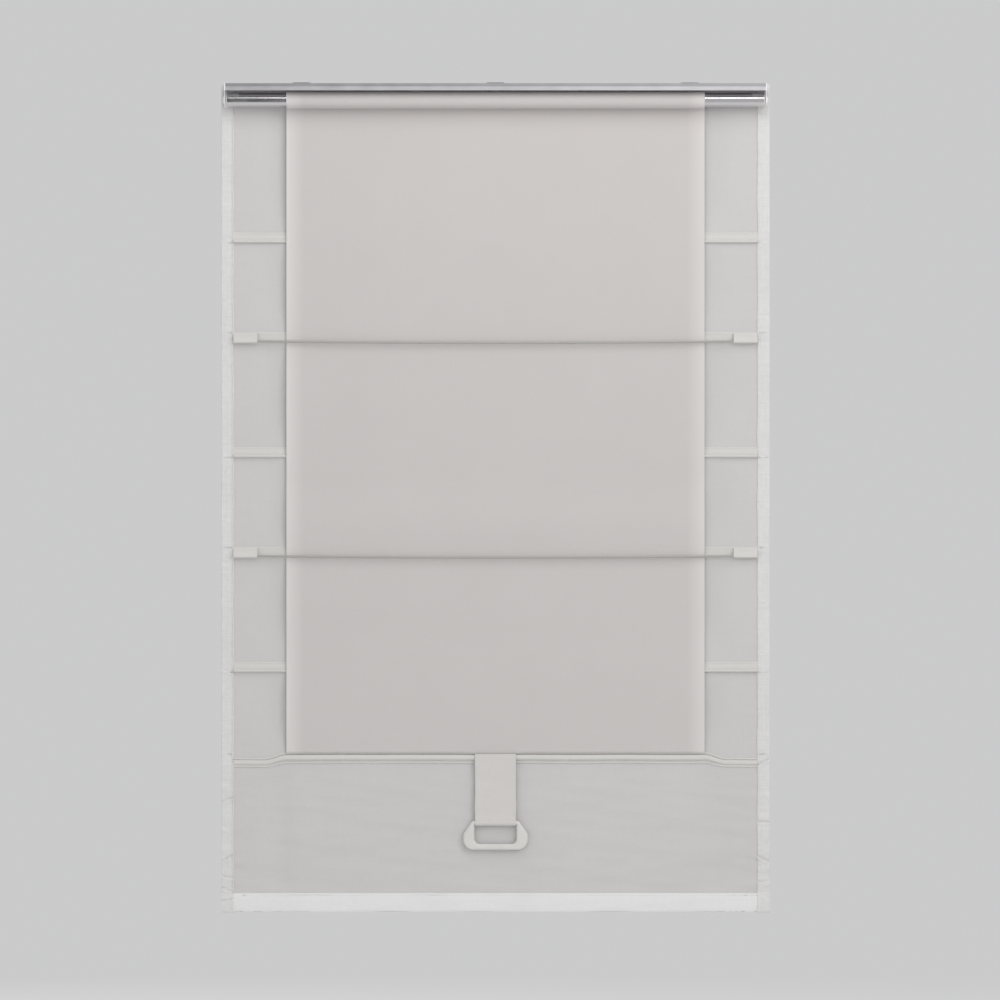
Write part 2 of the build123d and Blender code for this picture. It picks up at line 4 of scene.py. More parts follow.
import bpy
import numpy as np
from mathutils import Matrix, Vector


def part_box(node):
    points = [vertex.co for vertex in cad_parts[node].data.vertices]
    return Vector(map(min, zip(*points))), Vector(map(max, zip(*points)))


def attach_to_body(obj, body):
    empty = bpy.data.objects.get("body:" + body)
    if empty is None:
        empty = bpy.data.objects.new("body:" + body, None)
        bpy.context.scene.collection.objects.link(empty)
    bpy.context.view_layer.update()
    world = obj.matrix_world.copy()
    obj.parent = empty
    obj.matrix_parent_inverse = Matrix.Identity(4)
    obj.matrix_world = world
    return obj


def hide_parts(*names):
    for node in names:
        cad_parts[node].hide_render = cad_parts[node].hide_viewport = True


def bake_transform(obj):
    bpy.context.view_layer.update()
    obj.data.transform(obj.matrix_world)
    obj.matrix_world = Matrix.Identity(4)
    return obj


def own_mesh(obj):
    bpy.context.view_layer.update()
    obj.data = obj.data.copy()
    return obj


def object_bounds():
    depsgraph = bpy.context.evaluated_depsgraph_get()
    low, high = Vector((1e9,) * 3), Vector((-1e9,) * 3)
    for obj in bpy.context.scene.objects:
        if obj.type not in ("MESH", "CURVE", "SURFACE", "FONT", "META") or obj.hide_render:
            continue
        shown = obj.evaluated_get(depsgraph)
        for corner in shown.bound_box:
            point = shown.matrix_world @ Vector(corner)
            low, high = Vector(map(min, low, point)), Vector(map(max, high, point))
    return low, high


# A cordless fabric shade for an inside mount, shown from its window side. Metres, in the CAD
# frame: +X runs along the headrail, +Y faces the room, -Y the window, +Z is up.

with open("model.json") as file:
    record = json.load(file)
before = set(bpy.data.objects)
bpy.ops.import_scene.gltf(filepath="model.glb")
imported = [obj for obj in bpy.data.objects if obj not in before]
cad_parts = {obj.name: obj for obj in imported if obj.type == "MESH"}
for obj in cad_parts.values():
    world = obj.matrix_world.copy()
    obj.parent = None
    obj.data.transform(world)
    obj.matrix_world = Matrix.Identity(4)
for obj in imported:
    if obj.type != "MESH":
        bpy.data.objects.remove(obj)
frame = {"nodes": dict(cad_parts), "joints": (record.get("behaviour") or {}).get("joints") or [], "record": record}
cad_low, cad_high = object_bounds()

MM = 0.001
TURN = 2 * math.pi

# ---- places, from the frame


def low_of(node, axis):
    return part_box(node)[0]["xyz".index(axis)]


def high_of(node, axis):
    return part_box(node)[1]["xyz".index(axis)]


def middle_of(node, axis):
    return (low_of(node, axis) + high_of(node, axis)) / 2


SIDES = ((-1, "left"), (1, "right"))


FACE_T = 1.5 * MM
FACE_FRONT_Y = high_of("face_panel_0", "y")
FACE_Y = FACE_FRONT_Y - FACE_T
HALF_WIDTH = high_of("face_panel_0", "x")
HEM_INNER_X = high_of("rib_1_pocket", "x")

# Each panel of the face fabric, and the body or the two bodies that it hangs from
PANELS = [
    ("face_panel_0", ["headrail_frame"]),
    ("face_panel_1", ["headrail_frame", "upper_fold"]),
    ("face_panel_2", ["upper_fold"]),
    ("face_panel_3", ["upper_fold", "middle_fold"]),
    ("face_panel_4", ["middle_fold"]),
    ("face_panel_5", ["middle_fold", "lower_fold"]),
    ("face_flap", ["lower_fold"]),
]
RIB_NODE = {
    1: "rib_1_pocket", 2: "rib_2_pockets", 3: "rib_3_pocket",
    4: "rib_4_pockets", 5: "rib_5_pocket", 6: "rib_6_pocket",
}
RIB_BODY = {
    1: "headrail_frame", 2: "upper_fold", 3: "upper_fold",
    4: "middle_fold", 5: "middle_fold", 6: "lower_fold",
}
RIB_Z = {rib: low_of(node, "z") for rib, node in RIB_NODE.items()}
POCKET_END_DROP = 8 * MM     # the lifting pocket's ends hang this much lower than its middle
RIB_Z[6] += POCKET_END_DROP
PANEL_OF_RIB = {1: 0, 2: 2, 3: 2, 4: 4, 5: 4, 6: 6}

ROLL_Z = middle_of("liner_roll", "z")
LINER_HALF = high_of("liner_drop", "x")
LINER_MID_Y = middle_of("liner_drop", "y")
LINER_BOTTOM_Z = low_of("liner_drop", "z")
HEM_TOP_Z = high_of("bottom_hem", "z")
HEM_BOTTOM_Z = low_of("bottom_hem", "z")

# ---- mesh building


def ring_faces(rows, columns, closed=True):
    """Quads of a grid of points, whose rows are closed rings if asked."""
    i, j = np.meshgrid(
        np.arange(rows - 1), np.arange(columns if closed else columns - 1), indexing="ij"
    )
    k = (j + 1) % columns
    quads = [i * columns + j, i * columns + k, (i + 1) * columns + k, (i + 1) * columns + j]
    return np.stack(quads, -1).reshape(-1, 4)


def end_strips(count):
    """Quads that close a ring by joining its two halves, like the rungs of a ladder."""
    k = np.arange(count // 2 - 1)
    return np.stack([k + 1, k, count - 1 - k, count - 2 - k], -1)


def signed_volume(points, faces):
    a, b, c, d = (points[faces[:, n]] for n in range(4))
    cross = np.cross(a, b) * c + np.cross(a, c) * d
    return cross.sum()


def make_piece(name, points, faces, materials, face_material=None, crease=40):
    """A closed mesh with smooth faces, turned so that its faces point outwards."""
    if signed_volume(points, faces) < 0:
        faces = faces[:, ::-1]
    mesh = bpy.data.meshes.new(name)
    mesh.from_pydata(points.tolist(), [], faces.tolist())
    for material in materials:
        mesh.materials.append(material)
    if face_material is not None:
        mesh.polygons.foreach_set("material_index", np.asarray(face_material, np.int32))
    mesh.shade_smooth()
    mesh.set_sharp_from_angle(angle=math.radians(crease))
    mesh.update()
    piece = bpy.data.objects.new(name, mesh)
    bpy.context.scene.collection.objects.link(piece)
    return piece


def loft(name, rings, materials, ring_material=None, crease=40):
    """A solid through a row of closed rings: an array of rings, points and coordinates."""
    rows, columns, _ = rings.shape
    side = ring_faces(rows, columns)
    cap = end_strips(columns)
    last = (rows - 1) * columns
    faces = np.concatenate([side, cap, cap[:, ::-1] + last])
    face_material = None
    if ring_material is not None:
        face_material = np.concatenate(
            [np.tile(ring_material, rows - 1), np.full(2 * len(cap), ring_material[0])]
        )
    return make_piece(name, rings.reshape(-1, 3), faces, materials, face_material, crease)


def sleeve(name, outer, inner, materials, crease=40, ring_material=None):
    """A tube of cloth with an outside and an inside, open at both ends."""
    rows, columns, _ = outer.shape
    side = ring_faces(rows, columns)
    inside = side[:, ::-1] + rows * columns
    j = np.arange(columns)
    k = (j + 1) % columns
    shift = rows * columns
    last = (rows - 1) * columns
    first_end = np.stack([k, j, j + shift, k + shift], -1)
    last_end = np.stack([j, k, k + shift, j + shift], -1) + last
    faces = np.concatenate([side, inside, first_end, last_end])
    points = np.concatenate([outer.reshape(-1, 3), inner.reshape(-1, 3)])
    face_material = None
    if ring_material is not None:
        face_material = np.zeros(len(faces), int)
        face_material[: len(side)] = np.tile(ring_material, rows - 1)
    return make_piece(name, points, faces, materials, face_material, crease)


def smooth_loop(corners, per_span=4):
    """A closed Catmull-Rom curve through the corners."""
    p = np.array(corners, float)
    t = np.arange(per_span)[:, None] / per_span
    spans = []
    for k in range(len(p)):
        a, b, c, d = (p[(k + n) % len(p)] for n in (-1, 0, 1, 2))
        spans.append(
            0.5 * (2 * b + (c - a) * t + (2 * a - 5 * b + 4 * c - d) * t**2
                   + (3 * b - a - 3 * c + d) * t**3)
        )
    return np.concatenate(spans)


def inset(loop, distance):
    """The closed loop moved inwards by a distance."""
    ahead, behind = np.roll(loop, -1, 0), np.roll(loop, 1, 0)
    along = ahead - behind
    along /= np.linalg.norm(along, axis=1)[:, None]
    area = np.sum(loop[:, 0] * ahead[:, 1] - ahead[:, 0] * loop[:, 1])
    turn = 1 if area > 0 else -1
    return loop + distance * turn * np.stack([-along[:, 1], along[:, 0]], -1)


def across(xs, loop):
    """The (y, z) loop repeated at each x: an array of rings."""
    rings = np.empty((len(xs), len(loop), 3))
    rings[:, :, 0] = np.asarray(xs)[:, None]
    rings[:, :, 1:] = loop
    return rings


def joined(*parts):
    """Points from separate coordinates, any of which may be one number for all of them."""
    return np.stack(np.broadcast_arrays(*parts), -1)


def smooth_step(t):
    t = np.clip(t, 0, 1)
    return t * t * (3 - 2 * t)


def bell(value, middle, reach):
    return np.exp(-(((value - middle) / reach) ** 2))


def ripple(x, z, seed, wave_x, wave_z, count=5):
    """A smooth irregular surface of height about 1, from sine waves of mixed lengths."""
    rng = np.random.default_rng(seed)
    total = 0.0
    for _ in range(count):
        along = TURN / rng.uniform(*wave_x) * rng.choice([-1, 1])
        down = TURN / rng.uniform(*wave_z)
        total = total + np.sin(along * x + down * z + rng.uniform(0, TURN))
    return total / math.sqrt(count)


# ---- how the face fabric hangs

# Creases across the side hems, by height, for the left and the right hem: deeper near the foot
CREASE_Z = {
    -1: [-0.306, -0.421, -0.505, -0.733, -0.929, -1.100, -1.152, -1.332, -1.404, -1.462, -1.519,
         -1.529, -1.556, -1.574, -1.581, -1.592, -1.598],
    1: [-0.309, -0.399, -0.507, -0.620, -0.731, -0.927, -1.021, -1.153, -1.330, -1.405, -1.448,
        -1.495, -1.521, -1.534, -1.566, -1.588],
}
CREASE_START_X = 0.494       # creases fade in outwards from here
CREASE_FADE = 0.022
CREASE_PIVOT_X = 0.526       # a slanting crease is at its own height here
CREASE_HEIGHT = 1.8 * MM

# Height of each slight bow in the lifting sheet, and how far it stands towards the room. They
# make room for the rear rods and the folds once the shade is raised.
LINER_SLACK = [(-0.790, 1.6 * MM), (-0.865, -2.6 * MM), (-1.090, 1.6 * MM)]


def rib_hold(z):
    """0 where a rod holds the fabric straight, 1 well away from every rod."""
    free = np.ones_like(z)
    for rib_z in RIB_Z.values():
        free = free * (1 - bell(z, rib_z + 10 * MM, 45 * MM))
    return free


def hem_creases(x, z):
    """Short slanting creases where the side hems are gathered by their stitching."""
    reach = smooth_step((np.abs(x) - CREASE_START_X) / CREASE_FADE)
    total = np.zeros(np.broadcast(x, z).shape)
    for side, levels in CREASE_Z.items():
        here = reach * (np.sign(x) == side)
        for n, level in enumerate(levels):
            slant = 0.5 * math.sin(2.4 * n + side)
            near_foot = smooth_step((-0.9 - level) / 0.6)
            depth = (0.35 + 0.75 * near_foot) * (0.7 + 0.5 * math.cos(3.1 * n))
            line = level + slant * (np.abs(x) - CREASE_PIVOT_X)
            ridge = bell(z, line, 2.2 * MM)
            groove = 0.6 * bell(z, line - 5 * MM, 3.4 * MM)
            total += here * depth * (ridge - groove)
    return total * CREASE_HEIGHT


def relief(x, z):
    """How far the face fabric stands out of its plane, towards the room: soft waves and a valley
    beside the lifting sheet, held flat at each rod, and loose wrinkles in the free flap below."""
    free = rib_hold(z)
    soft = 0.55 * ripple(x, z, 3, (0.16, 0.5), (0.3, 0.9))
    valley = 4.6 * bell(np.abs(x), LINER_HALF + 16 * MM, 30 * MM)
    flap = smooth_step((RIB_Z[6] - 12 * MM - z) / 0.03) * smooth_step((z - HEM_TOP_Z) / 0.02)
    wrinkles = 0.34 * ripple(x, z, 11, (0.12, 0.7), (0.016, 0.045), 9)
    slack = 0.7 * ripple(x, z, 12, (0.2, 0.8), (0.05, 0.12), 5)
    near_hems = smooth_step((np.abs(x) - 0.43) / 0.1)
    gathers = 0.35 * ripple(x, z, 5, (0.05, 0.12), (0.018, 0.05), 6) * near_hems
    held = smooth_step((z - HEM_TOP_Z) / 0.02)
    total = (soft + valley + 0.35 * gathers) * free * held + (wrinkles + slack + gathers) * flap
    return total * MM + 0.45 * hem_creases(x, z) * held


def draped(points):
    """Points on the face fabric, moved with its relief. Their last axis is x, y and z."""
    moved = points.copy()
    moved[..., 1] += relief(points[..., 0], points[..., 2])
    return moved


# ---- materials


class Graph:
    """A material's nodes, with short calls for the ones used here."""

    def __init__(self, name):
        self.material = bpy.data.materials.new(name)
        self.material.use_nodes = True
        self.tree = self.material.node_tree
        self.tree.nodes.clear()
        self.shader = self.node("BsdfPrincipled")
        output = self.node("OutputMaterial")
        self.tree.links.new(self.shader.outputs[0], output.inputs[0])
        self.place = self.node("TexCoord").outputs["Object"]

    def node(self, kind, **settings):
        made = self.tree.nodes.new(f"ShaderNode{kind}")
        for key, value in settings.items():
            setattr(made, key, value)
        return made

    def feed(self, socket, value):
        if isinstance(value, bpy.types.NodeSocket):
            self.tree.links.new(value, socket)
        else:
            socket.default_value = value

    def scaled(self, x, y, z, shift=(0, 0, 0)):
        """Object coordinates, stretched: a larger number gives finer detail that way."""
        mapping = self.node("Mapping")
        self.feed(mapping.inputs["Vector"], self.place)
        mapping.inputs["Scale"].default_value = (x, y, z)
        mapping.inputs["Location"].default_value = shift
        return mapping.outputs[0]

    def noise(self, vector, scale=1.0, detail=3.0, roughness=0.55):
        made = self.node("TexNoise")
        self.feed(made.inputs["Vector"], vector)
        made.inputs["Scale"].default_value = scale
        made.inputs["Detail"].default_value = detail
        made.inputs["Roughness"].default_value = roughness
        return made.outputs["Fac"]

    def along(self, axis):
        """One of the object coordinates."""
        parts = self.node("SeparateXYZ")
        self.feed(parts.inputs[0], self.place)
        return parts.outputs[axis]

    def math(self, operation, a, b=0.0):
        made = self.node("Math", operation=operation)
        self.feed(made.inputs[0], a)
        self.feed(made.inputs[1], b)
        return made.outputs[0]

    def spread(self, value, low, high, new_low=0.0, new_high=1.0):
        made = self.node("MapRange")
        self.feed(made.inputs["Value"], value)
        ends = {"From Min": low, "From Max": high, "To Min": new_low, "To Max": new_high}
        for key, end in ends.items():
            made.inputs[key].default_value = end
        return made.outputs[0]

    def mix(self, factor, a, b):
        made = self.node("Mix", data_type="RGBA")
        self.feed(made.inputs["Factor"], factor)
        self.feed(made.inputs[6], a)
        self.feed(made.inputs[7], b)
        return made.outputs[2]

    def bump(self, height, distance, strength=1.0, under=None):
        made = self.node("Bump")
        self.feed(made.inputs["Height"], height)
        made.inputs["Distance"].default_value = distance
        made.inputs["Strength"].default_value = strength
        if under is not None:
            self.feed(made.inputs["Normal"], under)
        return made.outputs[0]

    def set(self, **inputs):
        for key, value in inputs.items():
            self.feed(self.shader.inputs[key.replace("_", " ")], value)
        return self.material


def shade(colour, factor):
    return (*(min(1.0, c * factor) for c in colour), 1)


def plain_weave(g, thread, wander):
    """A height that alternates over and under along both thread directions."""
    pull = g.math("MULTIPLY", g.noise(g.scaled(90, 90, 90), 1.0, 2), wander)
    warp, weft = (
        g.math("SINE", g.math("ADD", g.math("MULTIPLY", g.along(axis), math.pi / thread), pull))
        for axis in "XZ"
    )
    return g.spread(g.math("MULTIPLY", warp, weft), -1, 1)


def cloth(name, colour, thread, contrast, slubs, mottle, roughness, sheen, edge=None):
    """Woven cloth: threads, thicker slubs that run along them, and soft uneven patches. When
    edge is given, the distance from the middle to a sealed edge, a painted highlight makes it
    paler near that edge, for the light that curled edges catch."""
    g = Graph(name)
    weave = plain_weave(g, thread, 2.5)
    weft_slubs = g.noise(g.scaled(22, 22, 1300), 1.0, 2, 0.6)
    warp_slubs = g.noise(g.scaled(1300, 1300, 16), 1.0, 2, 0.6)
    patches = g.noise(g.scaled(9, 9, 7), 1.0, 4, 0.6)
    flecks = g.noise(g.scaled(120, 120, 120), 1.0, 3, 0.65)
    threads = g.math("ADD", weft_slubs, warp_slubs)
    streaks = g.spread(threads, 0.75, 1.25)
    tone = g.mix(streaks, shade(colour, 1 - slubs), shade(colour, 1 + slubs))
    uneven = g.spread(patches, 0.3, 0.7)
    cloudy = g.mix(uneven, shade(colour, 1 - mottle), shade(colour, 1 + mottle))
    base = g.mix(0.5, tone, cloudy)
    worn = g.mix(g.spread(flecks, 0.35, 0.75, 0.0, 0.35), base, shade(colour, 1 - 1.6 * mottle))
    woven = g.mix(g.spread(weave, 0, 1, 0, contrast), worn, shade(colour, 0.82))
    if edge is not None:
        # painted highlight: paler towards the edge, for the light that the curled edges catch
        near = g.spread(g.math("ABSOLUTE", g.along("X")), edge - 34 * MM, edge - 4 * MM)
        woven = g.mix(near, woven, shade(colour, 1.16))
    height = g.math("ADD", g.math("MULTIPLY", weave, 0.5), g.math("MULTIPLY", threads, 0.6))
    soft = g.bump(g.noise(g.scaled(34, 34, 26), 1.0, 3), 0.6 * MM, 0.35)
    return g.set(
        Base_Color=woven,
        Roughness=g.spread(flecks, 0.3, 0.7, roughness - 0.06, min(1.0, roughness + 0.06)),
        Normal=g.bump(height, 0.16 * MM, 0.55, soft),
        Sheen_Weight=sheen,
        Sheen_Roughness=0.45,
        Specular_IOR_Level=0.25,
    )


def metal(name, colour, roughness, grain, along_x=True, painted_shade_z=None):
    """Drawn or brushed metal, with fine lines along its length and faint smudges. Above the
    given height the tone is darker: painted shade for the shade in a recess."""
    g = Graph(name)
    lines = g.noise(g.scaled(2, 700, 700) if along_x else g.scaled(900, 900, 900), 1.0, 2, 0.5)
    smudges = g.noise(g.scaled(30, 30, 30), 1.0, 4, 0.6)
    tone = g.mix(g.spread(lines, 0.3, 0.7), shade(colour, 0.9), shade(colour, 1.06))
    if painted_shade_z is not None:
        # painted shade: darker above this height, standing in for the shade in the recess
        above = g.spread(g.along("Z"), painted_shade_z - 0.2 * MM, painted_shade_z + 0.4 * MM)
        tone = g.mix(above, tone, shade(colour, 0.68))
    return g.set(
        Base_Color=tone,
        Metallic=1.0,
        Roughness=g.spread(smudges, 0.3, 0.7, roughness - 0.05, roughness + 0.07),
        Normal=g.bump(lines, 0.03 * MM, grain),
    )


def moulded(name, colour, roughness, texture, coat=0.0):
    """Moulded or painted surface: a fine even grain, slight unevenness, softly varied gloss."""
    g = Graph(name)
    grain = g.noise(g.scaled(1500, 1500, 1500), 1.0, 2, 0.5)
    uneven = g.noise(g.scaled(40, 40, 40), 1.0, 3, 0.5)
    tone = g.mix(g.spread(uneven, 0.3, 0.7), shade(colour, 0.975), shade(colour, 1.02))
    soft = g.bump(uneven, 0.25 * MM, 0.25)
    return g.set(
        Base_Color=tone,
        Roughness=g.spread(uneven, 0.3, 0.7, roughness - 0.05, roughness + 0.05),
        Normal=g.bump(grain, 0.03 * MM, texture, soft),
        Coat_Weight=coat,
        Coat_Roughness=0.25,
    )


def fastening_tape(name, colour):
    """Hook-and-loop tape: a dense field of tiny nubs."""
    g = Graph(name)
    cells = g.node("TexVoronoi")
    g.feed(cells.inputs["Vector"], g.scaled(900, 900, 900))
    cells.inputs["Scale"].default_value = 1.0
    nubs = cells.outputs["Distance"]
    return g.set(
        Base_Color=g.mix(g.spread(nubs, 0, 0.9), shade(colour, 1.03), shade(colour, 0.72)),
        Roughness=0.9,
        Normal=g.bump(nubs, 0.35 * MM, 0.9),
        Sheen_Weight=0.3,
    )


LINING = cloth(
    "lining_cloth", (0.565, 0.545, 0.545), thread=0.32 * MM, contrast=0.10,
    slubs=0.035, mottle=0.03, roughness=0.80, sheen=0.12,
)
POCKET = cloth(
    "pocket_cloth", (0.615, 0.603, 0.580), thread=0.32 * MM, contrast=0.10,
    slubs=0.04, mottle=0.03, roughness=0.80, sheen=0.12,
)
LINEN = cloth(
    "face_linen", (0.665, 0.662, 0.655), thread=0.50 * MM, contrast=0.22,
    slubs=0.16, mottle=0.08, roughness=0.88, sheen=0.22,
)
HEM_CLOTH = cloth(
    "bottom_hem_cloth", (0.725, 0.725, 0.725), thread=0.36 * MM, contrast=0.12,
    slubs=0.06, mottle=0.04, roughness=0.75, sheen=0.2,
)
# Painted highlight: the lifting cloth is paler towards its curled edges, which catch the light.
LINER = cloth(
    "lifting_cloth", (0.540, 0.516, 0.505), thread=0.26 * MM, contrast=0.06,
    slubs=0.02, mottle=0.02, roughness=0.62, sheen=0.06, edge=LINER_HALF,
)
WEBBING = cloth(
    "strap_cloth", (0.60, 0.578, 0.560), thread=0.45 * MM, contrast=0.14,
    slubs=0.05, mottle=0.03, roughness=0.78, sheen=0.15,
)
THREAD = moulded("sewing_thread", (0.60, 0.59, 0.58), roughness=0.7, texture=0.8)
# Above -8 mm the headrail gets painted shade, for the shaded recess of its upper band.
RAIL_METAL = metal(
    "headrail_metal", (0.78, 0.77, 0.79), roughness=0.45, grain=0.12, painted_shade_z=-8 * MM
)
TUBE_METAL = metal("tube_metal", (0.66, 0.65, 0.66), roughness=0.20, grain=0.06)
BAR_METAL = metal("bar_metal", (0.60, 0.60, 0.60), roughness=0.35, grain=0.3)
ZINC = metal("zinc_plate", (0.46, 0.46, 0.47), roughness=0.32, grain=0.4, along_x=False)
SPRING_METAL = metal(
    "spring_metal", (0.30, 0.30, 0.31), roughness=0.30, grain=0.4, along_x=False
)
CLIP_METAL = metal("clip_metal", (0.42, 0.42, 0.43), roughness=0.36, grain=0.6)
BRACKET_PAINT = moulded(
    "bracket_paint", (0.80, 0.80, 0.795), roughness=0.38, texture=0.35, coat=0.15
)
PLUG_PLASTIC = moulded("plug_plastic", (0.64, 0.635, 0.62), roughness=0.48, texture=0.6)
# A dark grey, as painted shade: it darkens the pale rods to their shaded look in front of the lifting sheet.
ROD_PLASTIC = moulded(
    "rod_plastic", (0.36, 0.355, 0.33), roughness=0.32, texture=0.2, coat=0.2
)
HANDLE_PLASTIC = moulded(
    "handle_plastic", (0.625, 0.61, 0.585), roughness=0.34, texture=0.3, coat=0.12
)
TAPE = fastening_tape("fastening_tape", (0.60, 0.60, 0.59))

# ---- hard parts from the CAD

CAD_FINISH = {
    RAIL_METAL: ["headrail"],
    TUBE_METAL: ["roller_tube"],
    BAR_METAL: ["weight_bar"],
    BRACKET_PAINT: ["end_bracket_left", "end_bracket_right"],
    CLIP_METAL: ["mounting_clip_left", "mounting_clip_centre", "mounting_clip_right"],
    ZINC: ["bracket_screws", "spring_spindle", "idle_pin"],
    SPRING_METAL: ["torsion_spring", "idle_pin_spring"],
    PLUG_PLASTIC: [
        "spring_end_plug", "idle_plug", "spring_fixed_hub", "spindle_bush",
        "weight_bar_cap_left", "weight_bar_cap_right",
    ],
    ROD_PLASTIC: ["rib_1_rod", "rib_3_rod", "rib_5_rod", "rib_6_rod"],
    HANDLE_PLASTIC: ["ring_handle"],
    TAPE: ["hook_strip", "loop_strip"],
}
SOFT_EDGE = {RAIL_METAL: 0.25 * MM, BRACKET_PAINT: 0.35 * MM, CLIP_METAL: 0.2 * MM}
for finish, nodes in CAD_FINISH.items():
    for node in nodes:
        frame["nodes"][node].data.materials.clear()
        frame["nodes"][node].data.materials.append(finish)
for finish, width in SOFT_EDGE.items():
    for node in CAD_FINISH[finish]:
        bevel = frame["nodes"][node].modifiers.new("soft_edge", "BEVEL")
        bevel.width = width
        bevel.segments = 2
        bevel.limit_method = "ANGLE"
        bevel.angle_limit = math.radians(50)
        bevel.use_clamp_overlap = True

# ---- sewing


STITCH_PITCH = 3.2 * MM
STITCH_LENGTH = 2.5 * MM
THREAD_R = 0.24 * MM
THREAD_SIDES = 6
# Each ring of a stitch: its place as a share of the stitch's length, and its thickness and its
# height over the cloth as shares of the thread's radius
STITCH_RINGS = [
    (-0.5, 0.25, -0.7), (-0.32, 0.85, 0.15), (0.0, 1.0, 0.45), (0.32, 0.85, 0.15),
    (0.5, 0.25, -0.7),
]


def stitches(name, path):
    """A row of sewn stitches along a path on the window side of the cloth."""
    path = np.asarray(path, float)
    legs = np.linalg.norm(np.diff(path, axis=0), axis=1)
    run = np.concatenate([[0], np.cumsum(legs)])
    middles = np.arange(STITCH_PITCH / 2, run[-1], STITCH_PITCH)

    def at(distance):
        return np.stack([np.interp(distance, run, path[:, n]) for n in range(3)], -1)

    centre = at(middles)
    along = at(middles + STITCH_LENGTH / 4) - at(middles - STITCH_LENGTH / 4)
    along /= np.linalg.norm(along, axis=1)[:, None]
    out = np.broadcast_to((0.0, -1.0, 0.0), centre.shape)
    side = np.cross(along, out)
    side /= np.linalg.norm(side, axis=1)[:, None]
    out = np.cross(side, along)
    angle = np.arange(THREAD_SIDES) * TURN / THREAD_SIDES
    spoke = (
        side[:, None, :] * np.cos(angle)[None, :, None]
        + out[:, None, :] * np.sin(angle)[None, :, None]
    )
    rows = len(STITCH_RINGS)
    points = np.empty((len(middles), rows, THREAD_SIDES, 3))
    for n, (reach, thick, height) in enumerate(STITCH_RINGS):
        spine = centre + along * reach * STITCH_LENGTH + out * height * THREAD_R
        points[:, n] = spine[:, None, :] + spoke * thick * THREAD_R
    cap = end_strips(THREAD_SIDES)
    last = (rows - 1) * THREAD_SIDES
    one = np.concatenate([ring_faces(rows, THREAD_SIDES), cap, cap[:, ::-1] + last])
    first_point = np.arange(len(middles)) * rows * THREAD_SIDES
    faces = (one[None] + first_point[:, None, None]).reshape(-1, 4)
    return make_piece(name, points.reshape(-1, 3), faces, [THREAD], None, 80)


def panel_reach(node):
    return high_of(node, "z"), low_of(node, "z")


def attach(piece, bodies):
    """Rides on one body; a piece between two bodies is left where it was made, on neither."""
    if len(bodies) == 1:
        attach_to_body(piece, bodies[0])
        return
    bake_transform(piece)


# ---- face fabric and side hems

EVEN_HALF = 0.49             # out to here a sheet's columns are evenly spaced, then closer


def rows_between(top, bottom, step):
    return np.linspace(top, bottom, max(3, 1 + round((top - bottom) / step)))


def face_sheet(node):
    """The lining on the window side and the linen on the room side, as one thin sheet."""
    top, bottom = panel_reach(node)
    zs = rows_between(top, bottom, 4.5 * MM)
    middle = np.linspace(-EVEN_HALF, EVEN_HALF, 150)
    edge = EVEN_HALF + (HALF_WIDTH - 0.3 * MM - EVEN_HALF) * np.linspace(0, 1, 20)[1:]
    xs = np.concatenate([-edge[::-1], middle, edge])
    loop = np.concatenate([joined(FACE_Y, zs), joined(FACE_FRONT_Y - 0.2 * MM, zs[::-1])])
    rings = draped(across(xs, loop))
    linen_side = np.zeros(len(loop), int)
    linen_side[len(zs) - 1 :] = 1
    return loft(node, rings, [LINING, LINEN], linen_side, 60)


def side_hem(name, node, side):
    """The linen turned over onto the lining along one edge, doubled, with a rounded fold."""
    top, bottom = panel_reach(node)
    zs = rows_between(top, bottom, 2.2 * MM)
    inner, outer = HEM_INNER_X, HALF_WIDTH
    section = smooth_loop([
        (inner + 0.5 * MM, FACE_Y - 0.05 * MM),
        (inner - 0.4 * MM, FACE_Y - 0.9 * MM),
        (inner + 0.1 * MM, FACE_Y - 2.2 * MM),
        (inner + 1.6 * MM, FACE_Y - 2.5 * MM),
        (inner + 3.6 * MM, FACE_Y - 1.2 * MM),
        (inner + 9 * MM, FACE_Y - 1.25 * MM),
        (inner + 15 * MM, FACE_Y - 1.1 * MM),
        (outer - 2.5 * MM, FACE_Y - 1.15 * MM),
        (outer - 0.5 * MM, FACE_Y - 0.85 * MM),
        (outer, FACE_Y - 0.3 * MM),
        (outer - 0.6 * MM, FACE_Y + 0.25 * MM),
        (inner + 12 * MM, FACE_Y + 0.1 * MM),
    ])
    wander = ripple(np.full_like(zs, side), zs, 21, (0.5, 2.0), (0.03, 0.16), 6) * 0.45 * MM
    thickness = (FACE_Y - section[:, 1]) / (1.5 * MM)
    to_inner = smooth_step((outer - 8 * MM - section[:, 0]) / (12 * MM))
    x = side * (section[:, 0] + wander[:, None] * to_inner)
    z = np.broadcast_to(zs[:, None], x.shape)
    rumple = 0.2 * MM * ripple(x, z, 22, (0.012, 0.04), (0.009, 0.03), 7)
    y = section[:, 1] + thickness * (rumple + 0.8 * hem_creases(x, z))
    return loft(name, draped(joined(x, y, z)), [LINEN], None, 60)


def hem_stitches(name, node, side):
    top, bottom = panel_reach(node)
    zs = rows_between(top, bottom, 2.2 * MM)
    x = side * (HEM_INNER_X + 3.4 * MM)
    line = joined(x, FACE_Y - 1.0 * MM, zs)
    line[:, 1] += 0.7 * hem_creases(line[:, 0], line[:, 2])
    return stitches(name, draped(line))


panels = {}
on_panel = {}
for node, bodies in PANELS:
    panels[node] = face_sheet(node)
    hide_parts(node)
    attach(panels[node], bodies)
    on_panel[node] = []
    for side, place in SIDES:
        strip = side_hem(f"{node}_hem_{place}", node, side)
        sewing = hem_stitches(f"{node}_hem_stitches_{place}", node, side)
        for piece in (strip, sewing):
            attach(piece, bodies)
            on_panel[node].append(piece)

# ---- rib pockets

STUB_LENGTH = 47 * MM        # from the side hem to the free end of a rear rib's stub pocket
ROD_SAG = 2.8 * MM
ROD_BOW = 5.6 * MM           # towards the window


def cross_columns(half, step=7 * MM):
    return np.linspace(-half, half, 1 + 2 * round(half / step))


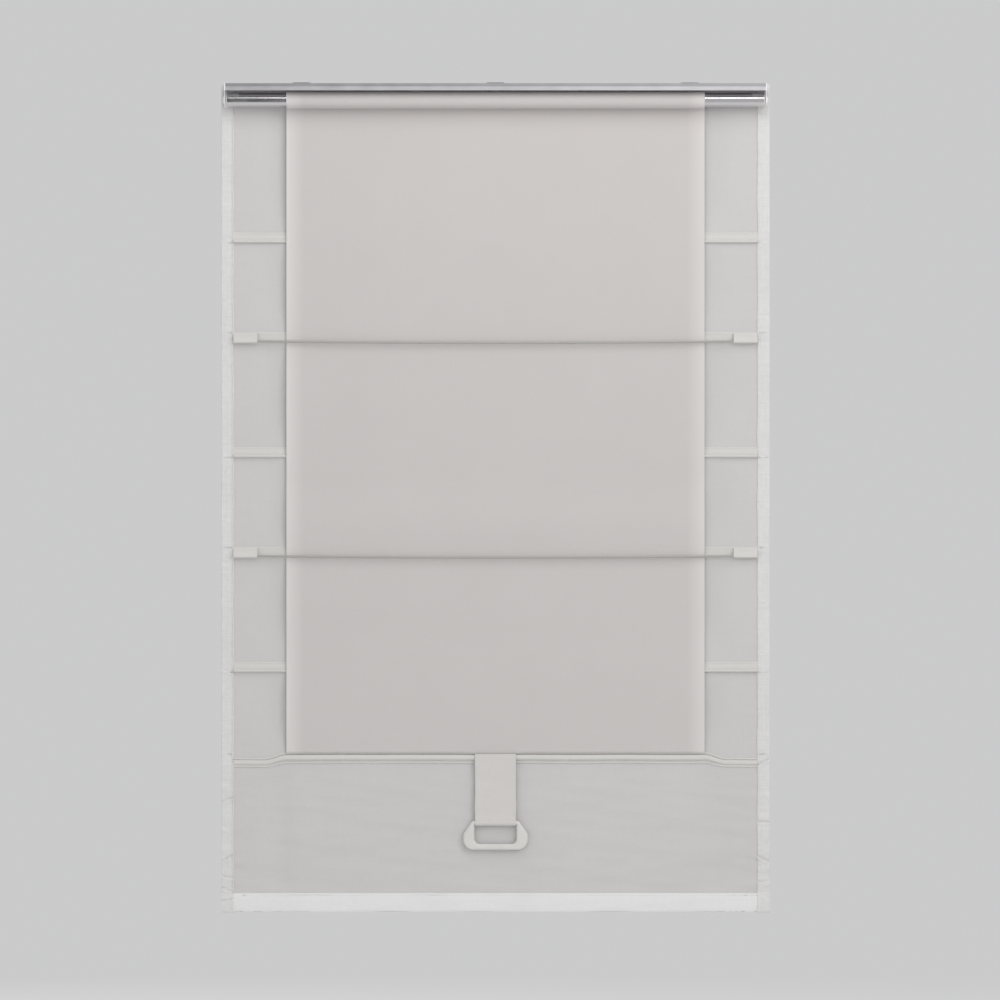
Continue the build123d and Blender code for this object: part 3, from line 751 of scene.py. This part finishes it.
def pocket_sleeve(name, xs, corners, wall, slack=0.0):
    loop = smooth_loop(corners)
    rings = [across(xs, loop), across(xs, inset(loop, wall))]
    for half in rings:
        # beyond the lifting sheet the rounded foot has room to hang further out
        beyond = smooth_step((np.abs(half[:, :, 0]) - LINER_HALF - 4 * MM) / (24 * MM))
        out = np.clip((FACE_Y - 2.1 * MM - half[:, :, 1]) / (2 * MM), 0, 1)
        half[:, :, 1] -= slack * beyond * out
    return sleeve(name, draped(rings[0]), draped(rings[1]), [POCKET])


def stitch_line(name, xs, y, z, wave=0.0):
    zs = z + wave * ripple(xs, np.zeros_like(xs), 31, (0.1, 0.5), (0.5, 1.0), 4)
    return stitches(name, draped(joined(xs, y, zs)))


def front_rib(rib):
    """A full-width tuck, flat above and rounded below where its thin rod lies."""
    node = RIB_NODE[rib]
    foot = RIB_Z[rib]
    rear = low_of(node, "y")
    rod_y, rod_z = (middle_of(f"rib_{rib}_rod", axis) for axis in "yz")
    # depth off the face and height over the foot, in millimetres, down to the rod
    flat = [(-0.1, 19.6), (0.9, 19.9), (1.5, 18.8), (1.1, 16.6), (1.7, 12.5), (2.0, 9.0), (1.9, 6.8)]
    corners = [(FACE_Y - depth * MM, foot + height * MM) for depth, height in flat] + [
        (rod_y - 1.7 * MM, rod_z + 1.7 * MM),
        (rear, rod_z),
        (rod_y - 1.6 * MM, rod_z - 1.9 * MM),
        (rod_y, foot + 0.4 * MM),
        (FACE_Y + 0.1 * MM, foot + 1.6 * MM),
    ]
    xs = cross_columns(HEM_INNER_X)
    pocket = pocket_sleeve(node, xs, corners, 0.5 * MM, slack=2.4 * MM)
    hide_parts(node)
    seam = stitch_line(
        f"rib_{rib}_stitches", xs[2:-2], FACE_Y - 1.15 * MM, foot + 16.6 * MM, wave=0.3 * MM
    )
    return [pocket, seam]


def rear_band(rib, side, place):
    """A flat sewn band beside the lifting sheet, which joins a stub pocket to the face."""
    foot = RIB_Z[rib]
    # each corner's depth off the face and its height over the foot, in millimetres
    section = [
        (-0.1, 20.6), (0.8, 20.9), (1.2, 19.6), (0.8, 17.5),
        (1.1, 10.0), (1.5, 2.5), (0.8, 0.3), (-0.1, 1.0),
    ]
    corners = [(FACE_Y - depth * MM, foot + height * MM) for depth, height in section]
    xs = side * np.linspace(LINER_HALF - 12 * MM, HEM_INNER_X, 15)
    band = pocket_sleeve(f"rib_{rib}_band_{place}", xs, corners, 0.4 * MM)
    seam = stitch_line(
        f"rib_{rib}_stitches_{place}", xs[1:-1], FACE_Y - 0.85 * MM, foot + 17.5 * MM,
        wave=0.3 * MM,
    )
    return [band, seam]


def rear_stub(rib, side, place, rod_y, rod_z):
    """A short loop of cloth that holds one end of a rear rib's rod."""
    foot = RIB_Z[rib]
    rear = low_of(RIB_NODE[rib], "y")
    xs = np.linspace(HEM_INNER_X, HEM_INNER_X - STUB_LENGTH, 19) * side
    loop = smooth_loop([
        (FACE_Y - 0.3 * MM, foot + 20.0 * MM),
        (FACE_Y - 1.9 * MM, foot + 20.4 * MM),
        (FACE_Y - 4.2 * MM, foot + 17.4 * MM),
        (rod_y - 0.9 * MM, rod_z + 7.5 * MM),
        (rear, rod_z + 1.5 * MM),
        (rear, rod_z - 1.8 * MM),
        (rod_y - 0.4 * MM, foot + 0.5 * MM),
        (rod_y + 2.4 * MM, foot + 1.2 * MM),
        (FACE_Y - 2.2 * MM, foot + 5.5 * MM),
        (FACE_Y - 0.3 * MM, foot + 10 * MM),
    ])
    outer, inner = across(xs, loop), across(xs, inset(loop, 0.7 * MM))
    # the free end flares a little, and the cloth between the ends dips
    reach = (HEM_INNER_X - np.abs(outer[:, :, 0])) / STUB_LENGTH
    dip = 0.5 * MM * np.sin(math.pi * reach) * smooth_step((outer[:, :, 2] - foot) / (12 * MM))
    flare = 0.5 * MM * smooth_step((reach - 0.8) / 0.2) * (FACE_Y - outer[:, :, 1]) / (10 * MM)
    for rings in (outer, inner):
        rings[:, :, 1] += dip - flare
    stub = sleeve(f"rib_{rib}_stub_{place}", outer, inner, [POCKET])
    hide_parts(RIB_NODE[rib])
    return stub


def rear_rib(rib):
    """Stub loops at both sides carry the rod across in front of the lifting sheet."""
    rod = f"rib_{rib}_rod"
    rod_r = (high_of(rod, "y") - low_of(rod, "y")) / 2
    rod_y, rod_z = middle_of(rod, "y"), low_of(rod, "z") + rod_r
    made = []
    for side, place in SIDES:
        made += rear_band(rib, side, place)
    for side, place in SIDES:
        made.append(rear_stub(rib, side, place, rod_y, rod_z))
    made.append(sagging_rod(rib, rod_y, rod_z, rod_r, HEM_INNER_X - STUB_LENGTH))
    return made


def sagging_rod(rib, y, z, radius, free_half):
    """A slim glass-fibre rod, which sags and bows a little between its two stub pockets."""
    node = f"rib_{rib}_rod"
    half = high_of(node, "x")
    body = np.linspace(-half + 0.8 * MM, half - 0.8 * MM, 121)
    xs = np.concatenate([[-half, -half + 0.2 * MM], body, [half - 0.2 * MM, half]])
    scale = np.ones(len(xs))
    scale[[0, -1]] = 0.55
    scale[[1, -2]] = 0.85
    angle = np.arange(20) * TURN / 20
    drop = ROD_SAG * np.clip(1 - (xs / free_half) ** 2, 0, None)
    bow = ROD_BOW * np.clip(1 - (np.abs(xs) / free_half) ** 8, 0, None)
    around_y = y - bow[:, None] + radius * scale[:, None] * np.cos(angle)
    around_z = z - drop[:, None] + radius * scale[:, None] * np.sin(angle)
    rod = loft(node + "_sagging", joined(xs[:, None], around_y, around_z), [ROD_PLASTIC])
    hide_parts(node)
    return rod


LIFT_POCKET_TAPER = 0.18     # the ends are lower than the middle by this share of the height


def lift_line_drop(xs):
    """How far the lifting pocket's lines have dropped at each x, from 0 to 1."""
    return smooth_step((np.abs(xs) - LINER_HALF + 2 * MM) / (46 * MM))


def lift_pocket():
    """The pocket that takes the lifting sheet's foot: a round band between two pinched seams."""
    node = RIB_NODE[6]
    foot = RIB_Z[6]
    rear = low_of(node, "y")
    depth = FACE_Y - rear
    height = high_of(node, "z") - foot
    # each point's depth in the middle and at the ends, and its height, as shares of the full ones
    profile = [
        (-0.02, -0.02, 1.17), (0.10, 0.17, 1.18), (0.16, 0.28, 1.09), (0.08, 0.18, 0.99),
        (0.02, 0.02, 0.935), (0.50, 0.22, 0.915), (0.86, 0.36, 0.86), (1.0, 0.44, 0.70),
        (1.0, 0.46, 0.55), (0.88, 0.42, 0.42), (0.55, 0.28, 0.33), (0.20, 0.08, 0.255),
        (0.34, 0.24, 0.17), (0.36, 0.28, 0.07), (0.20, 0.14, -0.02), (-0.02, -0.02, 0.02),
        (-0.02, -0.02, 0.55),
    ]
    xs = cross_columns(HEM_INNER_X, 4 * MM)
    side = lift_line_drop(xs)
    middle = smooth_loop([(FACE_Y - a * depth, b * height) for a, _, b in profile], 5)
    end_height = height * (1 - LIFT_POCKET_TAPER)
    ends = smooth_loop([(FACE_Y - a * depth, b * end_height) for _, a, b in profile], 5)
    wave = 0.55 * MM * ripple(xs, np.zeros_like(xs), 41, (0.05, 0.3), (0.5, 1.0), 6)
    blend = side[:, None]
    y = middle[:, 0] * (1 - blend) + ends[:, 0] * blend
    z = foot + middle[:, 1] * (1 - blend) + ends[:, 1] * blend
    z += (wave - POCKET_END_DROP * side)[:, None]
    pucker = 0.25 * MM * ripple(xs[:, None], z, 42, (0.012, 0.05), (0.02, 0.06), 6)
    y += pucker * (FACE_Y - y) / depth
    pocket = loft(node, draped(joined(xs[:, None], y, z)), [POCKET])
    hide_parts(node)
    seams = []
    for share, name in ((0.935, "upper"), (0.255, "lower")):
        level = foot + height * share * (1 - LIFT_POCKET_TAPER * side)
        line = draped(joined(xs, FACE_Y - 0.6 * MM, level - POCKET_END_DROP * side + wave))
        seams.append(stitches(f"lift_pocket_stitches_{name}", line[3:-3]))
    return [pocket] + seams


for rib, body in RIB_BODY.items():
    made = lift_pocket() if rib == 6 else front_rib(rib) if rib % 2 else rear_rib(rib)
    for piece in made:
        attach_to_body(piece, body)
    on_panel[PANELS[PANEL_OF_RIB[rib]][0]] += [p for p in made if "rod" not in p.name]

# ---- bottom hem


def hem_loop(proud=0.0):
    """Section of the bottom hem over its weight bar. proud makes it that much larger."""
    rear, front = low_of("bottom_hem", "y"), high_of("bottom_hem", "y")
    top, foot = HEM_TOP_Z, HEM_BOTTOM_Z
    corners = [
        (FACE_Y + 0.4 * MM, top + 1.3 * MM),
        (FACE_Y - 0.6 * MM, top + 1.2 * MM),
        (FACE_Y - 1.8 * MM, top + 0.2 * MM),
        (rear + 1.2 * MM, top - 2.8 * MM),
        (rear + 0.4 * MM, top - 8 * MM),
        (rear, top - 14 * MM),
        (rear, top - 24 * MM),
        (rear + 0.3 * MM, foot + 7 * MM),
        (rear + 1.0 * MM, foot + 3.4 * MM),
        (rear + 2.2 * MM, foot + 0.9 * MM),
        (rear + 3.6 * MM, foot),
        (front - 1.4 * MM, foot + 1.2 * MM),
        (front - 0.3 * MM, foot + 5.5 * MM),
        (front, foot + 16 * MM),
        (front - 0.2 * MM, top - 10 * MM),
        (front - 0.9 * MM, top - 3.5 * MM),
        (FACE_FRONT_Y + 0.2 * MM, top + 0.6 * MM),
        (FACE_FRONT_Y - 0.4 * MM, top + 1.2 * MM),
    ]
    return inset(smooth_loop(corners), -proud)


def hem_sleeve(middle_y):
    """The hem over its weight bar, gathered a little towards its ends."""
    loop = hem_loop()
    xs = cross_columns(HALF_WIDTH - 1 * MM, 3.5 * MM)
    outer, inner = across(xs, loop), across(xs, inset(loop, 1.0 * MM))
    x, z = outer[:, :, 0], outer[:, :, 2]
    near_ends = smooth_step((np.abs(x) - 0.40) / 0.11)
    slack = 0.14 * ripple(x, z, 51, (0.05, 0.3), (0.012, 0.05), 7)
    gather = 0.34 * ripple(x, z, 52, (0.012, 0.04), (0.02, 0.08), 6) * near_ends
    outer[:, :, 1] += (slack + gather) * MM * np.sign(outer[:, :, 1] - middle_y)
    room_side = (loop[:, 0] > middle_y).astype(int)
    room_side[:8] = 0            # the first points are the hem's top edge on the window side
    hem = sleeve("bottom_hem", outer, inner, [HEM_CLOTH, LINEN], ring_material=room_side)
    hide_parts("bottom_hem")
    return hem


def hem_wrap(side, place, middle_y):
    """The side hem's turned end, which goes on over the bottom hem."""
    xs = side * np.linspace(HEM_INNER_X - 0.5 * MM, HALF_WIDTH, 17)
    outer, inner = across(xs, hem_loop(0.9 * MM)), across(xs, hem_loop(0.1 * MM))
    x, z = outer[:, :, 0], outer[:, :, 2]
    rumple = 0.2 * MM * ripple(x, z, 53, (0.012, 0.04), (0.008, 0.03), 7)
    fold = 0.5 * MM * bell(np.abs(x), HEM_INNER_X + 1.2 * MM, 1.6 * MM)
    outward = np.sign(outer[:, :, 1] - middle_y)
    outer[:, :, 1] += (rumple + fold + hem_creases(x, z)) * outward
    return sleeve(f"bottom_hem_wrap_{place}", outer, inner, [LINEN])


def bottom_hem():
    middle_y = middle_of("bottom_hem", "y")
    seam_x = cross_columns(HEM_INNER_X - 2 * MM)
    seam_y = low_of("bottom_hem", "y") + 1.1 * MM
    made = [hem_sleeve(middle_y)]
    made += [hem_wrap(side, place, middle_y) for side, place in SIDES]
    seam_z = HEM_TOP_Z - 3 * MM
    made.append(stitch_line("bottom_hem_stitches", seam_x, seam_y, seam_z, wave=0.2 * MM))
    return made


for piece in bottom_hem():
    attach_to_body(piece, "lower_fold")
    on_panel["face_flap"].append(piece)

# ---- lifting sheet and its roll

LINER_T = 0.45 * MM
ROLL_PITCH = 0.5 * MM


def liner_roll():
    """The lifting sheet's turns on the tube: one spiral, whose outer end is on the room side."""
    tube_r = (high_of("roller_tube", "y") - low_of("roller_tube", "y")) / 2
    outer_r = LINER_MID_Y
    inner_r = tube_r + 0.3 * MM
    turns = (outer_r - inner_r) / ROLL_PITCH
    angle = np.linspace(0, turns * TURN, round(turns * 56))
    radius = outer_r - ROLL_PITCH * angle / TURN
    half = LINER_T / 2

    def wound(r):
        return np.stack([r * np.cos(angle), ROLL_Z + r * np.sin(angle)], -1)

    loop = np.concatenate([wound(radius + half), wound(radius - half)[::-1]])
    around = np.concatenate([angle, angle[::-1]])
    shares = np.concatenate([[-1, -0.995], np.linspace(-0.98, 0.98, 25), [0.995, 1]])
    rings = across(shares * LINER_HALF, loop)
    ragged = 0.7 * MM * np.sin(0.83 * around + 0.4) * np.sin(0.31 * around)
    rings[:, :, 0] += (ragged[None] - 0.5 * MM) * shares[:, None] ** 9
    roll = loft("liner_roll", rings, [LINER])
    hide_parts("liner_roll")
    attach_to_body(roll, "roller")


def liner_drop():
    """The lifting sheet from the roll to its pocket, with heat-cut edges that curl a little."""
    top, bottom = ROLL_Z, LINER_BOTTOM_Z
    zs = rows_between(top, bottom, 9 * MM)
    zs = np.concatenate([zs[:-1], bottom + np.array([6, 4, 2.5, 1.2, 0.4, 0]) * MM])
    edge = LINER_HALF - np.array([0, 0.6, 1.6, 3, 5, 8, 12, 18, 26]) * MM
    xs = np.concatenate([-edge, np.linspace(-0.37, 0.37, 57), edge[::-1]])
    half = LINER_T / 2
    rear, front = joined(LINER_MID_Y - half, zs), joined(LINER_MID_Y + half, zs[::-1])
    rings = across(xs, np.concatenate([rear, front]))
    x, z = rings[:, :, 0], rings[:, :, 2]
    free = np.ones_like(z)
    for rib in (2, 4):
        free = free * (1 - bell(z, RIB_Z[rib] + 4 * MM, 60 * MM))
    free = free * smooth_step((top - z) / 0.12) * smooth_step((z - bottom) / 0.08)
    for level, _ in LINER_SLACK:
        free = free * (1 - bell(z, level, 50 * MM))
    curl = -2.4 * MM * np.exp(-(LINER_HALF - np.abs(x)) / (10 * MM)) * free
    wave = 0.22 * MM * ripple(x, z, 61, (0.15, 0.5), (0.2, 0.9), 5) * free
    bow = sum(depth * bell(z, level, 40 * MM) for level, depth in LINER_SLACK)
    beside_strap = smooth_step((np.abs(x) - high_of("pull_strap", "x")) / (6 * MM))
    tucked = 2.4 * MM * smooth_step((bottom + 4 * MM - z) / (4 * MM)) * beside_strap
    rings[:, :, 1] += curl + wave + bow + tucked
    drop = loft("liner_drop", rings, [LINER])
    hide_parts("liner_drop")
    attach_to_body(drop, "headrail_frame")
    return drop


def lift_travel():
    """How far the lower fold rises in all, as a vector: the sum of its three slides."""
    joints = {joint["name"]: joint for joint in frame["joints"]}
    lift = joints["shade_lift"]["range_m"][1]
    ratio = {c["joint"]: c["ratio"] for c in frame["record"]["behaviour"]["couplings"]}
    total = Vector((0, 0, 0))
    for name in ("shade_lift", "middle_lift", "lower_lift"):
        total += Vector(joints[name]["axis"]) * lift * ratio.get(name, 1.0)
    return total


liner_roll()
drop = liner_drop()
travel = lift_travel()
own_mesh(drop)

# ---- spring of the idle pin


def pin_spring():
    """A coil spring with one end fixed in the plug, riding on the roller."""
    node = "idle_pin_spring"
    low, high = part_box(node)
    wire_r = 0.3 * MM
    coils = 7
    coil_r = (high.y - low.y) / 2 - wire_r
    centre_y, centre_z = (low.y + high.y) / 2, (low.z + high.z) / 2
    angle = np.linspace(0, coils * TURN, coils * 24)
    closed = smooth_step(angle / (coils * TURN))
    x = low.x + wire_r + (high.x - low.x - 2 * wire_r) * closed
    around = np.arange(8) * TURN / 8
    reach = coil_r + wire_r * np.cos(around)[None]
    rings = joined(
        x[:, None] + wire_r * np.sin(around),
        centre_y + reach * np.cos(angle)[:, None],
        centre_z + reach * np.sin(angle)[:, None],
    )
    spring = loft("idle_pin_coil", rings, [SPRING_METAL])
    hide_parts(node)
    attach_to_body(spring, "roller")
    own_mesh(spring)


pin_spring()

# ---- strap

STRAP_T = 0.8 * MM
LAYER_HALF_GAP = 0.62 * MM   # from the strap's middle to the middle of either layer
SEAM_INSET = 3.5 * MM        # from the strap's edge to its stitches
STRAP_HALF = high_of("pull_strap", "x")
STRAP_MIDDLE_Y = middle_of("pull_strap", "y")
STRAP_TOP_Z = high_of("pull_strap", "z") + 1.2 * MM
LOOP_R = (high_of("pull_strap", "y") - low_of("pull_strap", "y")) / 2 - STRAP_T / 2
LOOP_Z = low_of("pull_strap", "z") + LOOP_R + STRAP_T / 2


def strap_path():
    """The strap's middle line: down behind, round the handle's bar, up in front, and over."""
    together = LOOP_Z + LOOP_R + 8 * MM    # over the bar, where the two layers meet
    bend_z = STRAP_TOP_Z - 1 * MM
    down = np.linspace(bend_z, together, 30)
    angle = np.linspace(math.radians(62), math.radians(-242), 40)
    over = np.linspace(0, math.pi, 7)[1:-1]
    return np.concatenate([
        joined(STRAP_MIDDLE_Y + LAYER_HALF_GAP, down),
        joined(STRAP_MIDDLE_Y + LOOP_R * np.cos(angle), LOOP_Z + LOOP_R * np.sin(angle)),
        joined(STRAP_MIDDLE_Y - LAYER_HALF_GAP, down[::-1]),
        joined(STRAP_MIDDLE_Y - LAYER_HALF_GAP * np.cos(over),
               bend_z + LAYER_HALF_GAP * np.sin(over)),
    ])


def strap_hang(rings):
    """The points of the strap with its bow and its slight waves."""
    z = rings[:, :, 2]
    free = smooth_step((STRAP_TOP_Z - z) / 0.02) * smooth_step((z - LOOP_Z - 0.012) / 0.02)
    bow = 0.8 * MM * bell(z, STRAP_TOP_Z - 0.055, 0.018)
    bow -= 0.5 * MM * bell(z, STRAP_TOP_Z - 0.085, 0.02)
    wave = 0.35 * MM * ripple(rings[:, :, 0], z, 71, (0.06, 0.2), (0.03, 0.12), 5)
    rings[:, :, 1] += (bow + wave) * free
    uneven = ripple(np.zeros_like(z), z, 72, (1, 2), (0.03, 0.1), 4)
    rings[:, :, 0] *= 1 + 0.008 * uneven * free
    return rings


def strap():
    """A doubled strap that comes out of the pocket's seam and loops round the handle's bar."""
    path = strap_path()
    even = STRAP_HALF - 1.2 * MM
    edge = STRAP_HALF - 0.3 * MM
    xs = np.concatenate(
        [[-STRAP_HALF, -edge], np.linspace(-even, even, 29), [edge, STRAP_HALF]]
    )
    outer = strap_hang(across(xs, inset(path, -STRAP_T / 2)))
    inner = strap_hang(across(xs, inset(path, STRAP_T / 2)))
    made = sleeve("pull_strap", outer, inner, [WEBBING])
    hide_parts("pull_strap")
    seam_y = STRAP_MIDDLE_Y - LAYER_HALF_GAP - STRAP_T / 2
    seam_foot = LOOP_Z + LOOP_R + 3 * MM
    seam_x = STRAP_HALF - SEAM_INSET
    zs = np.linspace(STRAP_TOP_Z - 3 * MM, seam_foot, 60)
    lines = {place: joined(side * seam_x, seam_y, zs) for side, place in SIDES}
    lines["loop"] = joined(np.linspace(-seam_x, seam_x, 40), seam_y, seam_foot)
    rows = [
        stitches(f"strap_stitches_{place}", strap_hang(line[None])[0])
        for place, line in lines.items()
    ]
    length = float(np.sum(np.linalg.norm(np.diff(path, axis=0), axis=1)))
    return made, rows, (2 * STRAP_HALF, length)


strap_piece, strap_rows, strap_flat = strap()
for piece in [strap_piece] + strap_rows:
    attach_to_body(piece, "strap")

# ---- studio


def pale_floor():
    """A pale disc under the shade, which fades out into the backdrop."""
    radius = 4.0
    gap = 0.3                # below the shade's foot
    g = Graph("pale_floor")
    g.tree.nodes.remove(g.shader)
    diffuse = g.node("BsdfDiffuse")
    diffuse.inputs["Color"].default_value = (0.90, 0.90, 0.905, 1)
    clear = g.node("BsdfTransparent")
    choose = g.node("MixShader")
    distance = g.node("VectorMath", operation="LENGTH")
    g.feed(distance.inputs[0], g.place)
    g.feed(choose.inputs[0], g.spread(distance.outputs["Value"], 0.35 * radius, 0.95 * radius))
    g.tree.links.new(diffuse.outputs[0], choose.inputs[1])
    g.tree.links.new(clear.outputs[0], choose.inputs[2])
    output = next(n for n in g.tree.nodes if n.type == "OUTPUT_MATERIAL")
    g.tree.links.new(choose.outputs[0], output.inputs[0])
    bpy.ops.mesh.primitive_circle_add(vertices=96, radius=radius, fill_type="NGON")
    floor = bpy.context.object
    floor.name = "floor"
    floor.location = (0, 0, cad_low.z - gap)
    floor.data.materials.append(g.material)


def area_light(name, place, aim, size, power, colour=(1, 1, 1)):
    data = bpy.data.lights.new(name, "AREA")
    data.shape = "SQUARE"
    data.size = size
    data.energy = power
    data.color = colour
    lamp = bpy.data.objects.new(name, data)
    bpy.context.scene.collection.objects.link(lamp)
    lamp.location = place
    lamp.rotation_mode = "QUATERNION"
    lamp.rotation_quaternion = (Vector(aim) - Vector(place)).to_track_quat("-Z", "Y")
    lamp.visible_camera = False
    return lamp


def dark_card(name, corners):
    """A card that only reflections see, so that bare metal has something dark to mirror."""
    g = Graph(name)
    g.set(Base_Color=(0.02, 0.02, 0.022, 1), Roughness=1.0)
    mesh = bpy.data.meshes.new(name)
    mesh.from_pydata(corners, [], [(0, 1, 2, 3)])
    mesh.materials.append(g.material)
    card = bpy.data.objects.new(name, mesh)
    bpy.context.scene.collection.objects.link(card)
    card.visible_camera = False
    card.visible_diffuse = False
    card.visible_shadow = False
    card.visible_transmission = False


def studio():
    world = bpy.data.worlds.new("studio")
    bpy.context.scene.world = world
    world.use_nodes = True
    background = world.node_tree.nodes["Background"]
    background.inputs["Color"].default_value = (0.99, 0.99, 1.0, 1)
    background.inputs["Strength"].default_value = 0.60
    middle = (0, 0, (cad_low.z + cad_high.z) / 2)
    warm = (1.0, 0.992, 0.98)
    area_light("key", (2.6, -3.2, 0.9), middle, size=1.5, power=38, colour=warm)
    area_light("overhead", (0.1, -1.5, 1.3), middle, size=1.2, power=15)
    area_light("fill", (-3.0, -3.4, -1.6), middle, size=2.2, power=12)
    front = area_light("front", (0.5, -6.0, -0.9), middle, size=2.5, power=46)
    front.visible_glossy = False
    area_light("room_side", (-2.2, 3.6, 0.9), middle, size=2.0, power=26)
    pale_floor()
    dark_card("dark_card_left", [(-7, -6, -5), (-0.4, -7, -5), (-0.4, -7, 5), (-7, -6, 5)])


studio()

# A long way off on the window side, level, and aimed a little beside the shade's middle
CAMERA_DISTANCE = 20.0
CAMERA_X = 8.8 * MM
CAMERA_Z = -0.817
CAMERA_LENS = 367.5

camera_data = bpy.data.cameras.new("camera")
camera_data.lens = CAMERA_LENS
camera = bpy.data.objects.new("camera", camera_data)
bpy.context.scene.collection.objects.link(camera)
camera.location = (CAMERA_X, -CAMERA_DISTANCE, CAMERA_Z)
camera.rotation_euler = (math.radians(90), 0, 0)
bpy.context.scene.camera = camera
bpy.context.scene.view_settings.view_transform = "Standard"
